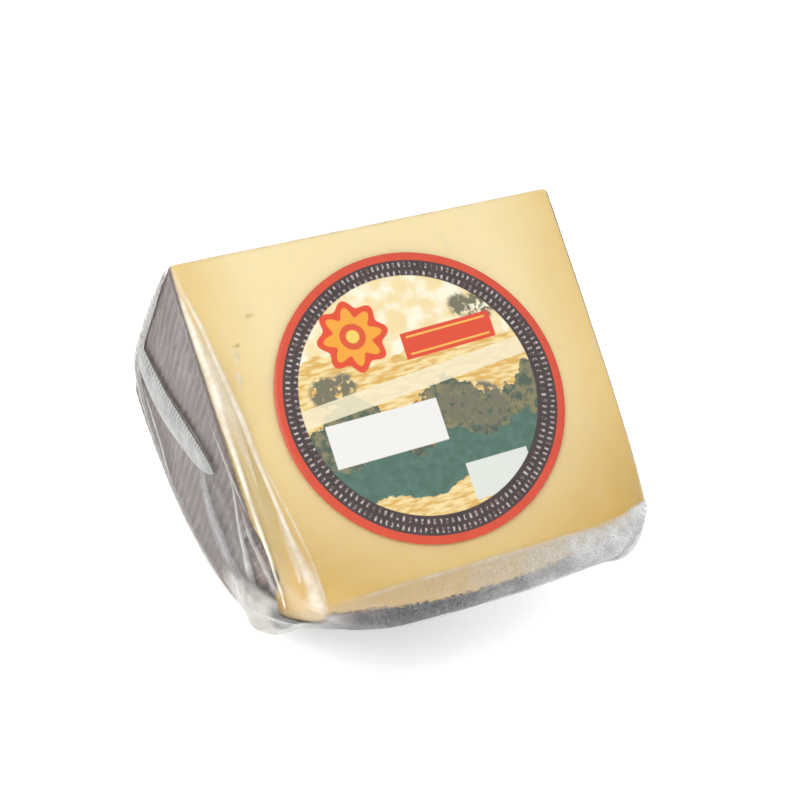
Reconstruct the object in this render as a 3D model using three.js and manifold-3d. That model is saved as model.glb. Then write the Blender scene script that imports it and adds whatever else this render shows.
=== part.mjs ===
// Quarter of a pressed, cured sheep cheese in a vacuum bag, in millimetres, +Z up.
//
// The quarter stands on its curved rind, with the wheel's axis lying along X on top of it. One cut
// face looks to -Y and up and carries the round label, the other looks to +Y and up, and the two
// flats of the wheel look to -X and +X. The cheese and the film drawn tight over it are one body.
//
// Shapes are worked out in the wheel's own frame: x along the axis, y down the labelled cut face,
// z into the cheese from that face. One group then turns them to how the piece stands.
import * as THREE from 'three';
import { mergeVertices } from 'three/addons/utils/BufferGeometryUtils.js';
import Module from 'manifold-3d';

const wasm = await Module();
wasm.setup();

// The wheel that the quarter was cut from
const WHEEL_HEIGHT = 106; // between the two flats, at the axis
const WHEEL_RADIUS = 101; // at mid height
const WEST_DOME = 3.1; // how far the flat that looks to -X falls back at the side
const EAST_DOME = 2; // and the one that looks to +X
const DOME_POWER = 1.5;
const BARREL = 3; // how far the side swells between the flats

// Shoulders, where a flat meets the side. At the front lower corner of the flat that looks to -X
// the shoulder is worn much rounder, and that dies out over CORNER_REACH into the cheese.
const SHOULDER_ROUNDING = 12;
const CORNER_EXTRA = 20;
const CORNER_REACH = 52;

// Edges of the cut faces, rolled by the film that pulls on them: crisp at the axis, soft at the rim
const AXIS_ROUNDING = 2;
const RIM_ROUNDING = 10;
const ROUNDING_POWER = 1.5; // how late the rounding grows on the way to the rim
const EAST_EXTRA_POWER = 5; // later still along the flat that looks to +X

// The spot it stands on is pressed flat by this much
const FOOT_DEPTH = 0.8;
const FOOT_BLOCK = 40;

// Grid of the body: cells along the axis, and across each cut face
const CELLS_ALONG = 16;
const CELLS_ACROSS = 24;
const EDGE_CROWDING = 0.45; // how much the cells crowd towards the edges, from 0 to 1

// Folds of slack film lie on the body and reach this far into it
const FOLD_ROOT = 1.5;
const FOLD_FULLNESS = 4; // 4 is a flat-topped band, towards 1 a tent
const FLAP_FULLNESS = 1.7;
const FOLD_RIM_SINK = 0.4; // how far the two sides of a fold end below the skin

// The label, stuck on the middle of the film over the front cut face
const LABEL_DIAMETER = 75.5;
const LABEL_THICKNESS = 0.4;
const LABEL_GAP = 0.3;
const LABEL_FROM_AXIS = 47.3;
const LABEL_SIDES = 96;

// A point well inside, from which the skin is found in every direction
const CORE = new THREE.Vector3(0, 0.45 * WHEEL_RADIUS, 0.45 * WHEEL_RADIUS);

// How far a point lies outside two walls (less than 0 inside) that meet in a rounded edge, where
// a and b say how far it lies outside each.
function roundedEdge(a, b, rounding) {
  const beyond = Math.hypot(Math.max(0, a + rounding), Math.max(0, b + rounding));
  return beyond + Math.min(0, Math.max(a, b) + rounding) - rounding;
}

// How far a point lies outside the pack: the wheel with its shoulders, then the two cuts.
function outside(point) {
  const { x, y, z } = point;
  const radius = Math.hypot(y, z);
  const share = radius / WHEEL_RADIUS;
  const dome = (x < 0 ? WEST_DOME : EAST_DOME) * share ** DOME_POWER;
  const flat = Math.abs(x) - (WHEEL_HEIGHT / 2 - dome);
  const side = radius - (WHEEL_RADIUS - BARREL * (2 * x / WHEEL_HEIGHT) ** 2);
  const corner = x < 0 ? CORNER_EXTRA * Math.max(0, 1 - (z / CORNER_REACH) ** 2) : 0;
  const wheel = roundedEdge(flat, side, SHOULDER_ROUNDING + corner);
  const cuts = roundedEdge(-y, -z, AXIS_ROUNDING);
  const power = ROUNDING_POWER + EAST_EXTRA_POWER * Math.max(0, 2 * x / WHEEL_HEIGHT) ** 2;
  return roundedEdge(wheel, cuts, AXIS_ROUNDING + (RIM_ROUNDING - AXIS_ROUNDING) * share ** power);
}

// Where the line from the core through a point comes out of the pack.
function onSkin(point) {
  const way = point.clone().sub(CORE).normalize();
  let near = 0;
  let far = 2 * WHEEL_RADIUS;
  for (let step = 0; step < 40; step += 1) {
    const middle = (near + far) / 2;
    if (outside(CORE.clone().addScaledVector(way, middle)) < 0) near = middle;
    else far = middle;
  }
  return CORE.clone().addScaledVector(way, near);
}

// The way out of the pack at a point of its skin.
function outwards(point) {
  const probe = 0.05;
  const slope = (axis) => outside(point.clone().addScaledVector(axis, probe))
    - outside(point.clone().addScaledVector(axis, -probe));
  return new THREE.Vector3(
    slope(new THREE.Vector3(1, 0, 0)),
    slope(new THREE.Vector3(0, 1, 0)),
    slope(new THREE.Vector3(0, 0, 1)),
  ).normalize();
}

// A three.js geometry as a solid that can be joined and cut.
function solid(geometry) {
  geometry.deleteAttribute('normal');
  geometry.deleteAttribute('uv');
  const merged = mergeVertices(geometry);
  return new wasm.Manifold(new wasm.Mesh({
    numProp: 3,
    vertProperties: new Float32Array(merged.attributes.position.array),
    triVerts: new Uint32Array(merged.index.array),
  }));
}

// A solid back as a three.js geometry.
function geometryOf(body) {
  const mesh = body.getMesh();
  const geometry = new THREE.BufferGeometry();
  geometry.setAttribute('position', new THREE.BufferAttribute(mesh.vertProperties, 3));
  geometry.setIndex(new THREE.BufferAttribute(mesh.triVerts, 1));
  geometry.computeVertexNormals();
  return geometry;
}

// The quarter itself: a box whose square end becomes the quarter circle of the flat, with every
// point then moved out onto the skin.
function quarter() {
  const geometry = new THREE.BoxGeometry(2, 2, 2, CELLS_ALONG, CELLS_ACROSS, CELLS_ACROSS);
  const crowd = (t) => t + EDGE_CROWDING * Math.sin(Math.PI * t) / Math.PI;
  const spots = geometry.attributes.position;
  for (let i = 0; i < spots.count; i += 1) {
    const along = crowd(spots.getX(i));
    const down = (crowd(spots.getY(i)) + 1) / 2;
    const inward = (crowd(spots.getZ(i)) + 1) / 2;
    const spot = onSkin(new THREE.Vector3(
      along * WHEEL_HEIGHT / 2,
      down * Math.sqrt(1 - inward ** 2 / 2) * WHEEL_RADIUS,
      inward * Math.sqrt(1 - down ** 2 / 2) * WHEEL_RADIUS,
    ));
    spots.setXYZ(i, spot.x, spot.y, spot.z);
  }
  return solid(geometry);
}

// A fold of slack film that lies on the skin. It runs through its stops, each x, y, z, then half
// the width and the height there, and falls to nothing at both sides.
function filmFold(stops, steps, fullness = FOLD_FULLNESS) {
  const across = [-1, -0.75, -0.35, 0.35, 0.75, 1];
  const places = new THREE.CatmullRomCurve3(stops.map(([x, y, z]) => new THREE.Vector3(x, y, z)));
  const sizes = new THREE.CatmullRomCurve3(stops.map((stop, i) => new THREE.Vector3(stop[3], stop[4], i)));
  const spots = [];
  for (let step = 0; step <= steps; step += 1) {
    const centre = onSkin(places.getPoint(step / steps));
    const { x: half, y: height } = sizes.getPoint(step / steps);
    const sideways = places.getTangent(step / steps).cross(outwards(centre)).normalize();
    const row = across.map((share) => {
      const foot = onSkin(centre.clone().addScaledVector(sideways, share * half));
      const way = outwards(foot);
      const fall = Math.abs(share) ** fullness;
      const lift = height * (1 - fall) - FOLD_RIM_SINK * fall;
      return { top: foot.clone().addScaledVector(way, lift), root: foot.addScaledVector(way, -FOLD_ROOT) };
    });
    spots.push(...row.map(({ top }) => top), ...row.reverse().map(({ root }) => root));
  }
  const round = 2 * across.length;
  const faces = [];
  for (let step = 0; step < steps; step += 1) {
    for (let i = 0; i < round; i += 1) {
      const here = step * round + i;
      const next = step * round + (i + 1) % round;
      faces.push(here, next, next + round, here, next + round, here + round);
    }
  }
  const last = steps * round;
  for (let i = 1; i < round - 1; i += 1) {
    faces.push(0, i + 1, i, last, last + i, last + i + 1);
  }
  const geometry = new THREE.BufferGeometry().setFromPoints(spots);
  geometry.setIndex(faces);
  return solid(geometry);
}

const WEST = -WHEEL_HEIGHT / 2; // the flat that looks to -X, where the bag's slack was folded

// The bag's sealed rim: it stands up along the back edge of the flat, then lies across the flat.
const rimOnEdge = () => filmFold([
  [WEST, 1, 2, 0.6, 0.3],
  [WEST, 1.5, 30, 2, 1.5],
  [WEST, 2, 55, 3, 2],
  [WEST, 4, 75, 2, 0.8],
], 12);
const rimOnFlat = () => filmFold([
  [WEST, 2, 64, 5, 1],
  [WEST, 17, 53, 7.5, 1.3],
  [WEST, 30, 42, 7.5, 1.3],
  [WEST, 41, 30, 6, 1.1],
  [WEST, 50, 19, 3.5, 0.3],
], 12);

// The slack below it, gathered towards the front lower corner, where it stands out as a flap.
const slackOnFlat = () => filmFold([
  [WEST, 46, 22, 4, 0.3],
  [WEST, 56, 23, 12, 1.3],
  [WEST, 66, 23, 12, 1.3],
  [WEST, 77, 23, 10, 1.3],
  [WEST, 87, 20, 8, 1],
], 12);
const cornerFlap = () => filmFold([
  [WEST, 68, 42, 4, 0.2],
  [WEST + 1, 79, 38, 9, 3],
  [WEST + 2, 86, 30, 13, 7.6],
  [WEST + 4, 90, 19, 13, 8.4],
  [WEST + 9, 93, 8, 10, 3.8],
  [WEST + 17, 96, 3, 6, 1.2],
  [WEST + 27, 97, 2, 3, 0.2],
], 18, FLAP_FULLNESS);

// Two long creases of film down the rolled edge between the flat and the front cut face.
const outerCrease = () => filmFold([
  [WEST, 3, 0, 0.6, 0.1],
  [WEST + 1, 45, 0, 1, 0.6],
  [WEST + 3, 90, 0, 1.2, 0.2],
], 14);
const innerCrease = () => filmFold([
  [WEST + 2.5, 3, 0, 0.5, 0.1],
  [WEST + 5, 42, 0, 1, 0.6],
  [WEST + 8.5, 62, 0, 1.3, 0.7],
  [WEST + 11.5, 92, 0, 1.8, 0.2],
], 14);

// What lies below the floor that the piece stands on.
function footBlock() {
  const block = new THREE.BoxGeometry(WHEEL_HEIGHT, FOOT_BLOCK, 2 * FOOT_BLOCK);
  block.translate(0, WHEEL_RADIUS - FOOT_DEPTH + FOOT_BLOCK / 2, 0);
  block.rotateX(Math.PI / 4);
  return solid(block);
}

function vacuumPack() {
  const folds = [rimOnEdge, rimOnFlat, slackOnFlat, cornerFlap, outerCrease, innerCrease];
  const body = folds.reduce((pack, fold) => pack.add(fold()), quarter()).subtract(footBlock());
  const film = new THREE.MeshStandardMaterial({ color: 0xe6cf9a, roughness: 0.25, metalness: 0 });
  const pack = new THREE.Mesh(geometryOf(body), film);
  pack.name = 'vacuum_pack';
  return pack;
}

function label() {
  const half = LABEL_DIAMETER / 2;
  const disc = new THREE.CylinderGeometry(half, half, LABEL_THICKNESS, LABEL_SIDES);
  const paper = new THREE.MeshStandardMaterial({ color: 0xd9532f, roughness: 0.35, metalness: 0 });
  const mesh = new THREE.Mesh(disc, paper);
  mesh.rotation.x = Math.PI / 2;
  mesh.position.set(0, LABEL_FROM_AXIS, -LABEL_GAP - LABEL_THICKNESS / 2);
  mesh.name = 'label';
  return mesh;
}

const cheese = new THREE.Group();
cheese.add(vacuumPack(), label());
cheese.rotation.x = THREE.MathUtils.degToRad(-135);
cheese.position.z = WHEEL_RADIUS - FOOT_DEPTH;

export default cheese;
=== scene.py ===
import math

import bmesh
import bpy
import numpy as np
from mathutils import Matrix, Vector


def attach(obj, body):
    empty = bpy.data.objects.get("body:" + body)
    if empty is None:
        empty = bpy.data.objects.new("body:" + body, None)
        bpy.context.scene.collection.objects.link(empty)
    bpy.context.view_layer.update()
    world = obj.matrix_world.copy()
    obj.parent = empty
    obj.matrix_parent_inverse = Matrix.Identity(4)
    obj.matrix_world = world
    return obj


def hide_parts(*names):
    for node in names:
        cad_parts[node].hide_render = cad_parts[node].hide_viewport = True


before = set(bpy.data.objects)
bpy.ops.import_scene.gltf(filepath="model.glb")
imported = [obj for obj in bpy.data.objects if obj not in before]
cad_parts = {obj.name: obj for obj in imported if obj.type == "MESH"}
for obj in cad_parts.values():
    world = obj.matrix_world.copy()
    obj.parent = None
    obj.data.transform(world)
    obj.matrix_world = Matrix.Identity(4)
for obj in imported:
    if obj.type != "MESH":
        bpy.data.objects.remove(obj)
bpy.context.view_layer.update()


# The cheese: a quarter of a pressed, cured wheel. The two cut faces show close ivory-yellow paste
# with a few small eyes. The flats and the curved side are grey-brown rind, ribbed by the mat that
# the wheel was pressed on. The film's pull has rolled the cut edges over.
#
# Everything on the pack is placed in the wheel's own frame, in millimetres: x along the axis, y
# down the labelled cut face from the axis, z into the cheese from that face.

WHEEL_HEIGHT = 106.0  # between the two flats, at the axis
WHEEL_RADIUS = 101.0  # at mid height
WEST_DOME = 3.1  # how far the flat that looks to -X falls back at the side
EAST_DOME = 2.0  # and the one that looks to +X
DOME_POWER = 1.5
BARREL = 3  # how far the side swells between the flats
SHOULDER_ROUNDING = 12  # where a flat meets the side
CORNER_EXTRA = 20  # the worn front lower corner on the left is this much rounder
CORNER_REACH = 52  # and that dies out this far into the cheese
AXIS_ROUNDING = 2  # of the cut faces' edges at the axis
RIM_ROUNDING = 10  # and at the side
ROUNDING_POWER = 1.5  # how late the rounding grows on the way there
EAST_EXTRA_POWER = 5  # later still along the flat that looks to +X
FOOT_DEPTH = 0.8  # the spot it stands on is pressed flat by this much
CORE = np.array((0.0, 0.45, 0.45)) * WHEEL_RADIUS
PROBE = 0.05  # how far a slope is read to either side of a point
EDGE_CROWDING = 0.45  # how much a mesh's cells crowd towards the edges, from 0 to 1
WAVES = 9  # that add up to an unevenness

CHEESE_BELOW = 0.45  # how deep the cheese lies below the pack's outside
CHEESE_LOWEST = 0.0003  # and how high above the floor, in metres
GROOVE_PITCH = 3.0
GROOVE_DEPTH = 0.4
GROOVE_LEAN = 0.16  # how far they run down for each millimetre that they run in
EYE_DEPTH = 0.5
EYE_STRETCH = 1.35  # the eyes are drawn out this much along the axis


def rounded_edge(a, b, rounding):
    """How far outside two walls that meet in a rounded edge, from how far outside each."""
    beyond = np.hypot(np.maximum(0, a + rounding), np.maximum(0, b + rounding))
    return beyond + np.minimum(0, np.maximum(a, b) + rounding) - rounding


def past_flat(x, radius):
    """How far points lie past the flat on their side, from their place along and from the axis."""
    dome = np.where(x < 0, WEST_DOME, EAST_DOME) * (radius / WHEEL_RADIUS) ** DOME_POWER
    return np.abs(x) - (WHEEL_HEIGHT / 2 - dome)


def outside_pack(points):
    """How far each point lies outside the pack: the wheel with its shoulders, then the two cuts."""
    x, y, z = points.T
    radius = np.hypot(y, z)
    side = radius - (WHEEL_RADIUS - BARREL * (2 * x / WHEEL_HEIGHT) ** 2)
    corner = np.where(x < 0, CORNER_EXTRA * np.maximum(0, 1 - (z / CORNER_REACH) ** 2), 0)
    wheel = rounded_edge(past_flat(x, radius), side, SHOULDER_ROUNDING + corner)
    cuts = rounded_edge(-y, -z, AXIS_ROUNDING)
    power = ROUNDING_POWER + EAST_EXTRA_POWER * np.maximum(0, 2 * x / WHEEL_HEIGHT) ** 2
    growth = (radius / WHEEL_RADIUS) ** power
    return rounded_edge(wheel, cuts, AXIS_ROUNDING + (RIM_ROUNDING - AXIS_ROUNDING) * growth)


def on_skin(points, below=0.0):
    """Where the line from the core through each point comes out, so far below the skin."""
    way = points - CORE
    way /= np.linalg.norm(way, axis=1)[:, None]
    near = np.zeros(len(points))
    far = np.full(len(points), 2 * WHEEL_RADIUS)
    for _ in range(26):  # each step halves the gap, down to a few millionths of a millimetre
        middle = (near + far) / 2
        inside = outside_pack(CORE + way * middle[:, None]) < -below
        near = np.where(inside, middle, near)
        far = np.where(inside, far, middle)
    return CORE + way * near[:, None]


def way_out(points):
    """The way out of the pack at each point of its skin."""
    slope = np.stack([outside_pack(points + step) - outside_pack(points - step)
                      for step in np.eye(3) * PROBE], axis=1)
    return slope / np.linalg.norm(slope, axis=1)[:, None]


def to_room(points):
    """Points in the wheel's frame, in millimetres, as the scene has them, in metres."""
    x, y, z = points.T
    s = math.sqrt(0.5)
    up = WHEEL_RADIUS - FOOT_DEPTH
    return np.stack([x, s * (z - y), up - s * (y + z)], axis=1) / 1000


def unevenness(points, pitch, seed):
    """Gentle unevenness between -1 and 1, about a pitch from one rise to the next."""
    dice = np.random.default_rng(seed)
    total = np.zeros(len(points))
    for _ in range(WAVES):
        way = dice.normal(size=3)
        way *= 2 * math.pi / (pitch * dice.uniform(0.7, 1.5) * np.linalg.norm(way))
        total += np.cos(points @ way + dice.uniform(0, 2 * math.pi))
    return np.clip(2 * total / WAVES, -1, 1)


def mesh_of(bm, name):
    """The bmesh as a mesh, and its points as rows of x, y, z."""
    mesh = bpy.data.meshes.new(name)
    bm.to_mesh(mesh)
    bm.free()
    spots = np.empty(len(mesh.vertices) * 3)
    mesh.vertices.foreach_get("co", spots)
    return mesh, spots.reshape(-1, 3)


def wrapped_block(name, cells, below):
    """A block of so many cells along, down and in, drawn out to so far below the pack's skin."""
    bm = bmesh.new()
    bmesh.ops.create_cube(bm, size=2)
    for axis, count in enumerate(cells):
        run = [e for e in bm.edges if abs((e.verts[0].co - e.verts[1].co)[axis]) > 1e-6]
        bmesh.ops.subdivide_edges(bm, edges=run, cuts=count - 1, use_grid_fill=True)
    mesh, spots = mesh_of(bm, name)
    along, down, inward = (spots + EDGE_CROWDING * np.sin(math.pi * spots) / math.pi).T
    down, inward = (down + 1) / 2, (inward + 1) / 2
    drawn = np.stack([along * WHEEL_HEIGHT / 2,
                      down * np.sqrt(1 - inward ** 2 / 2) * WHEEL_RADIUS,
                      inward * np.sqrt(1 - down ** 2 / 2) * WHEEL_RADIUS], axis=1)
    return mesh, on_skin(drawn, below)


def shown(name, mesh, points, lowest=0.0):
    """The mesh with its points put in the room, none below that height, as a smooth object."""
    room = to_room(points)
    room[:, 2] = np.maximum(room[:, 2], lowest)
    mesh.vertices.foreach_set("co", room.ravel())
    mesh.shade_smooth()
    mesh.update()
    piece = bpy.data.objects.new(name, mesh)
    bpy.context.scene.collection.objects.link(piece)
    return piece


def note(mesh, name, values):
    """Keeps one number for each point of the mesh, for its material to read."""
    mesh.attributes.new(name, "FLOAT", "POINT").data.foreach_set("value", values.astype(np.float32))


cheese_mesh, cheese_skin = wrapped_block("cheese", (60, 216, 92), CHEESE_BELOW)
x, y, z = cheese_skin.T
from_axis = np.hypot(y, z)

# The grooves die out towards the shoulders and towards the cut faces
on_flat = (np.clip((past_flat(x, from_axis) + 2.2) / 1.2, 0, 1)
           * np.clip((92 - from_axis) / 12, 0, 1)
           * np.clip((np.minimum(y, z) - 1) / np.where(x < 0, 5, 14), 0, 1))
mat_rib = y - GROOVE_LEAN * z + 1.1 * unevenness(cheese_skin, 30, 4)
groove = 0.5 - 0.5 * np.cos(2 * math.pi * mat_rib / GROOVE_PITCH)
groove = groove ** 1.4 * on_flat * (0.75 + 0.25 * unevenness(cheese_skin, 14, 8))

# The small eyes in the paste, each x, y, z and its size: the first three are on the labelled
# face, left of the label, and the rest are strewn over that face and over the one behind
dice = np.random.default_rng(31)
eyes = [(-27.1, 10.2, 0, 0.8), (-36.4, 17.5, 0, 0.95), (-41.8, 24.2, 0, 0.85)]
for _ in range(26):
    eyes.append((dice.uniform(-42, 46), dice.uniform(8, 82), 0, dice.uniform(0.25, 0.5)))
    eyes.append((dice.uniform(-46, 46), 0, dice.uniform(8, 82), dice.uniform(0.3, 0.8)))
eye = np.zeros(len(cheese_skin))
for eye_x, eye_y, eye_z, size in eyes:
    apart = ((x - eye_x) / EYE_STRETCH) ** 2 + (y - eye_y) ** 2 + (z - eye_z) ** 2
    eye = np.maximum(eye, np.exp(-apart / size ** 2))

side_relief = np.clip((from_axis - 94) / 4, 0, 1) * unevenness(cheese_skin, 5, 21)
cheese_relief = (-GROOVE_DEPTH * groove - EYE_DEPTH * eye + 0.10 * side_relief
                 + 0.04 * unevenness(cheese_skin, 22, 2))
note(cheese_mesh, "groove", groove)
note(cheese_mesh, "eye", eye)
cheese = shown("cheese", cheese_mesh, cheese_skin + way_out(cheese_skin) * cheese_relief[:, None],
               CHEESE_LOWEST)


def paint(red, green, blue):
    """A colour as seen on a screen, 0 to 255, for a shader."""
    return tuple(c / 3294.6 if c <= 10.3 else ((c / 255 + 0.055) / 1.055) ** 2.4
                 for c in (red, green, blue)) + (1.0,)


def finish(name):
    """A new material, its nodes and its shader."""
    material = bpy.data.materials.new(name)
    material.use_nodes = True
    return material, material.node_tree, material.node_tree.nodes["Principled BSDF"]


def feed(tree, socket, value):
    """Links another socket to this one, or sets this one's own number or colour."""
    if isinstance(value, bpy.types.NodeSocket):
        tree.links.new(value, socket)
    else:
        socket.default_value = value


def reckon(tree, operation, *values):
    """One step of arithmetic on numbers or sockets."""
    step = tree.nodes.new("ShaderNodeMath")
    step.operation = operation
    for socket, value in zip(step.inputs, values):
        feed(tree, socket, value)
    return step.outputs[0]


def length_of(tree, a, b):
    """The length of the long side of a right triangle with these two short ones."""
    return reckon(tree, "SQRT", reckon(tree, "ADD", reckon(tree, "MULTIPLY", a, a),
                                       reckon(tree, "MULTIPLY", b, b)))


def rise(tree, value, start, end, low=0.0, high=1.0):
    """Goes smoothly from low to high as the value goes from start to end."""
    span = tree.nodes.new("ShaderNodeMapRange")
    span.interpolation_type = "SMOOTHSTEP"
    for socket, number in zip(span.inputs, (value, start, end, low, high)):
        feed(tree, socket, number)
    return span.outputs[0]


def over(tree, share, under, upper):
    """The upper colour laid over the under one by that share."""
    mix = tree.nodes.new("ShaderNodeMix")
    mix.data_type = "RGBA"
    feed(tree, mix.inputs[0], share)
    feed(tree, mix.inputs[6], under)
    feed(tree, mix.inputs[7], upper)
    return mix.outputs[2]


def wheel_place(tree, stretch=(1, 1, 1)):
    """The wheel's own frame in millimetres, stretched if asked, as a vector."""
    room = tree.nodes.new("ShaderNodeTexCoord")
    turn = tree.nodes.new("ShaderNodeMapping")
    axis = math.sqrt(0.5) * (WHEEL_RADIUS - FOOT_DEPTH)  # how far off it lies, both ways
    turn.inputs["Location"].default_value = (0, axis, axis)
    turn.inputs["Rotation"].default_value = (math.radians(135), 0, 0)
    turn.inputs["Scale"].default_value = (1000, 1000, 1000)
    tree.links.new(room.outputs["Object"], turn.inputs["Vector"])
    if stretch == (1, 1, 1):
        return turn.outputs[0]
    pull = tree.nodes.new("ShaderNodeMapping")
    pull.inputs["Scale"].default_value = stretch
    tree.links.new(turn.outputs[0], pull.inputs["Vector"])
    return pull.outputs[0]


def parts_of(tree, vector):
    """A vector's x, y and z."""
    split = tree.nodes.new("ShaderNodeSeparateXYZ")
    tree.links.new(vector, split.inputs[0])
    return split.outputs


def mottle(tree, place, pitch, detail=3.0, roughness=0.5):
    """Cloudy noise from 0 to 1 with about that many millimetres from cloud to cloud."""
    cloud = tree.nodes.new("ShaderNodeTexNoise")
    cloud.inputs["Scale"].default_value = 1 / pitch
    cloud.inputs["Detail"].default_value = detail
    cloud.inputs["Roughness"].default_value = roughness
    tree.links.new(place, cloud.inputs["Vector"])
    return cloud.outputs["Fac"]


def noted(tree, name):
    """The number that the mesh keeps under this name."""
    read = tree.nodes.new("ShaderNodeAttribute")
    read.attribute_name = name
    return read.outputs["Fac"]


def relief(tree, height, depth_mm):
    """A normal from a height, and how many millimetres a height of 1 stands for."""
    bump = tree.nodes.new("ShaderNodeBump")
    bump.inputs["Strength"].default_value = 1
    bump.inputs["Distance"].default_value = depth_mm / 1000
    tree.links.new(height, bump.inputs["Height"])
    return bump.outputs["Normal"]


def wheel_depths(tree):
    """x, y, z, the distance from the axis, and how deep below the flats, all in millimetres."""
    px, py, pz = parts_of(tree, wheel_place(tree))
    radius = length_of(tree, py, pz)
    fall = reckon(tree, "POWER", reckon(tree, "DIVIDE", radius, WHEEL_RADIUS), DOME_POWER)
    dome = reckon(tree, "MULTIPLY", fall, rise(tree, px, -1, 1, WEST_DOME, EAST_DOME))
    deep = reckon(tree, "SUBTRACT", reckon(tree, "SUBTRACT", WHEEL_HEIGHT / 2, dome),
                  reckon(tree, "ABSOLUTE", px))
    return px, py, pz, radius, deep


# Where the paste ends and the rind of the curved side begins, measured from the axis. It draws
# back towards both flats, and more at the worn corner, but reaches further down beside it.
PASTE_ENDS = 97.2
WEST_CURL = 0.0034  # how fast it draws back towards the flat that looks to -X
EAST_CURL = 0.0026  # and towards the other
WORN_FROM = -41.0  # along the axis
WORN_BITE = 0.25
CORNER_DROP = 2.3


def worn_back(tree, px):
    """Grows from 0 at the start of the worn corner, ever faster towards the flat."""
    past = reckon(tree, "MAXIMUM", reckon(tree, "SUBTRACT", WORN_FROM, px), 0)
    return reckon(tree, "POWER", past, 2)


def reach_beside_corner(tree, px, pz):
    """How much further the paste reaches down beside the worn corner, in millimetres."""
    beside = reckon(tree, "MULTIPLY", rise(tree, px, -46, -41), rise(tree, px, -26, -40))
    drop = reckon(tree, "MULTIPLY", beside, rise(tree, pz, 4, 24, 0, CORNER_DROP))
    return reckon(tree, "MULTIPLY", drop, rise(tree, pz, 60, 45))


cheese_look, tree, shader = finish("paste and rind")
px, py, pz, radius, deep = wheel_depths(tree)
place = wheel_place(tree)
curl = rise(tree, px, -5, 5, WEST_CURL, EAST_CURL)
side_edge = reckon(tree, "SUBTRACT", PASTE_ENDS, reckon(
    tree, "MULTIPLY", reckon(tree, "MULTIPLY", px, px), curl))
side_edge = reckon(tree, "ADD", side_edge, reach_beside_corner(tree, px, pz))
worn = reckon(tree, "MULTIPLY", worn_back(tree, px), rise(tree, pz, 52, 24, 0, WORN_BITE))
side_deep = reckon(tree, "SUBTRACT", reckon(tree, "SUBTRACT", side_edge, worn), radius)
rind_depth = reckon(tree, "MINIMUM", reckon(tree, "SUBTRACT", deep, 1.1), side_deep)
ragged = reckon(tree, "MULTIPLY_ADD", mottle(tree, place, 1.3, 4, 0.65), 2.4, -1.2)
ragged = reckon(tree, "MULTIPLY", ragged, rise(tree, radius, 84, 92, 0.3, 1.0))
in_paste = rise(tree, reckon(tree, "ADD", rind_depth, ragged), -0.4, 0.4)

# The paste is ripest, and so yellowest, next to the rind,
from_edge = reckon(tree, "MINIMUM", deep, reckon(tree, "ADD", side_deep, 2.0))
ripeness = reckon(tree, "MULTIPLY_ADD", mottle(tree, place, 30, 2), 12.0, -6.0)
paste = over(tree, rise(tree, reckon(tree, "ADD", from_edge, ripeness), 24, -2, 0, 0.78),
             paint(236, 216, 162), paint(216, 180, 94))

# and most of all low down towards the corners, where the deeper colour is partly painted shade for
# the light falling from above
low_ripeness_and_shade = reckon(tree, "MULTIPLY", rise(tree, reckon(tree, "ADD", radius, ripeness), 44, 97),
                   rise(tree, reckon(tree, "ABSOLUTE", px), 5, 50, 0.46, 0.95))
paste = over(tree, low_ripeness_and_shade, paste, paint(194, 149, 38))

# It is duller where the left edge is rolled over, at the right corner and along the foot
rolled = reckon(tree, "MULTIPLY", rise(tree, px, -43, -47), rise(tree, py, 15, 60, 0, 0.9))
paste = over(tree, reckon(tree, "MULTIPLY", rolled, rise(tree, pz, 45, 30)),
             paste, paint(182, 156, 96))
# At the right corner the duller colour is partly painted shade, for the light falling from the
# upper left
far_corner = reckon(tree, "MULTIPLY", rise(tree, px, 38, 53), rise(tree, radius, 66, 92, 0, 0.6))
paste = over(tree, far_corner, paste, paint(166, 142, 60))
paste = over(tree, rise(tree, radius, 89.5, 92, 0, 0.75), paste, paint(182, 152, 98))

# Pale clouds, darker specks, and the eyes painted darker as shade inside them
paste = over(tree, reckon(tree, "MULTIPLY", mottle(tree, place, 5, 4, 0.6), 0.14),
             paste, paint(246, 234, 196))
paste = over(tree, rise(tree, mottle(tree, place, 1.1, 2), 0.62, 0.75, 0, 0.10),
             paste, paint(214, 178, 108))
paste = over(tree, rise(tree, noted(tree, "eye"), 0.25, 0.8, 0, 0.8), paste, paint(158, 136, 78))

# The rind of the flats is streaked along its grooves, which are painted darker as shade in them,
# more so low down
streaks = mottle(tree, wheel_place(tree, (1, 1.2, 0.10)), 1.7, 4, 0.62)
rind = over(tree, rise(tree, streaks, 0.32, 0.68), paint(54, 39, 34), paint(122, 101, 94))
low_down = rise(tree, py, 8, 45, 0.45, 0.9)
rind = over(tree, reckon(tree, "MULTIPLY", rise(tree, noted(tree, "groove"), 0.15, 0.9), low_down),
            rind, paint(58, 43, 37))
rind = over(tree, rise(tree, mottle(tree, place, 11, 3), 0.46, 0.72, 0, 0.4),
            rind, paint(102, 80, 64))
# Painted shadow: the rind is darker in the last two millimetres before the paste, a shadow line
# along the paste's edge
rind = over(tree, rise(tree, rind_depth, -2.0, -0.2, 0, 0.65), rind, paint(78, 58, 48))

# The rind of the curved side is nearly black
side_rind = over(tree, rise(tree, mottle(tree, place, 1.1, 5, 0.8), 0.3, 0.7),
                 paint(18, 18, 23), paint(64, 62, 66))
rind = over(tree, rise(tree, radius, 93, 97), rind, side_rind)

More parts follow.
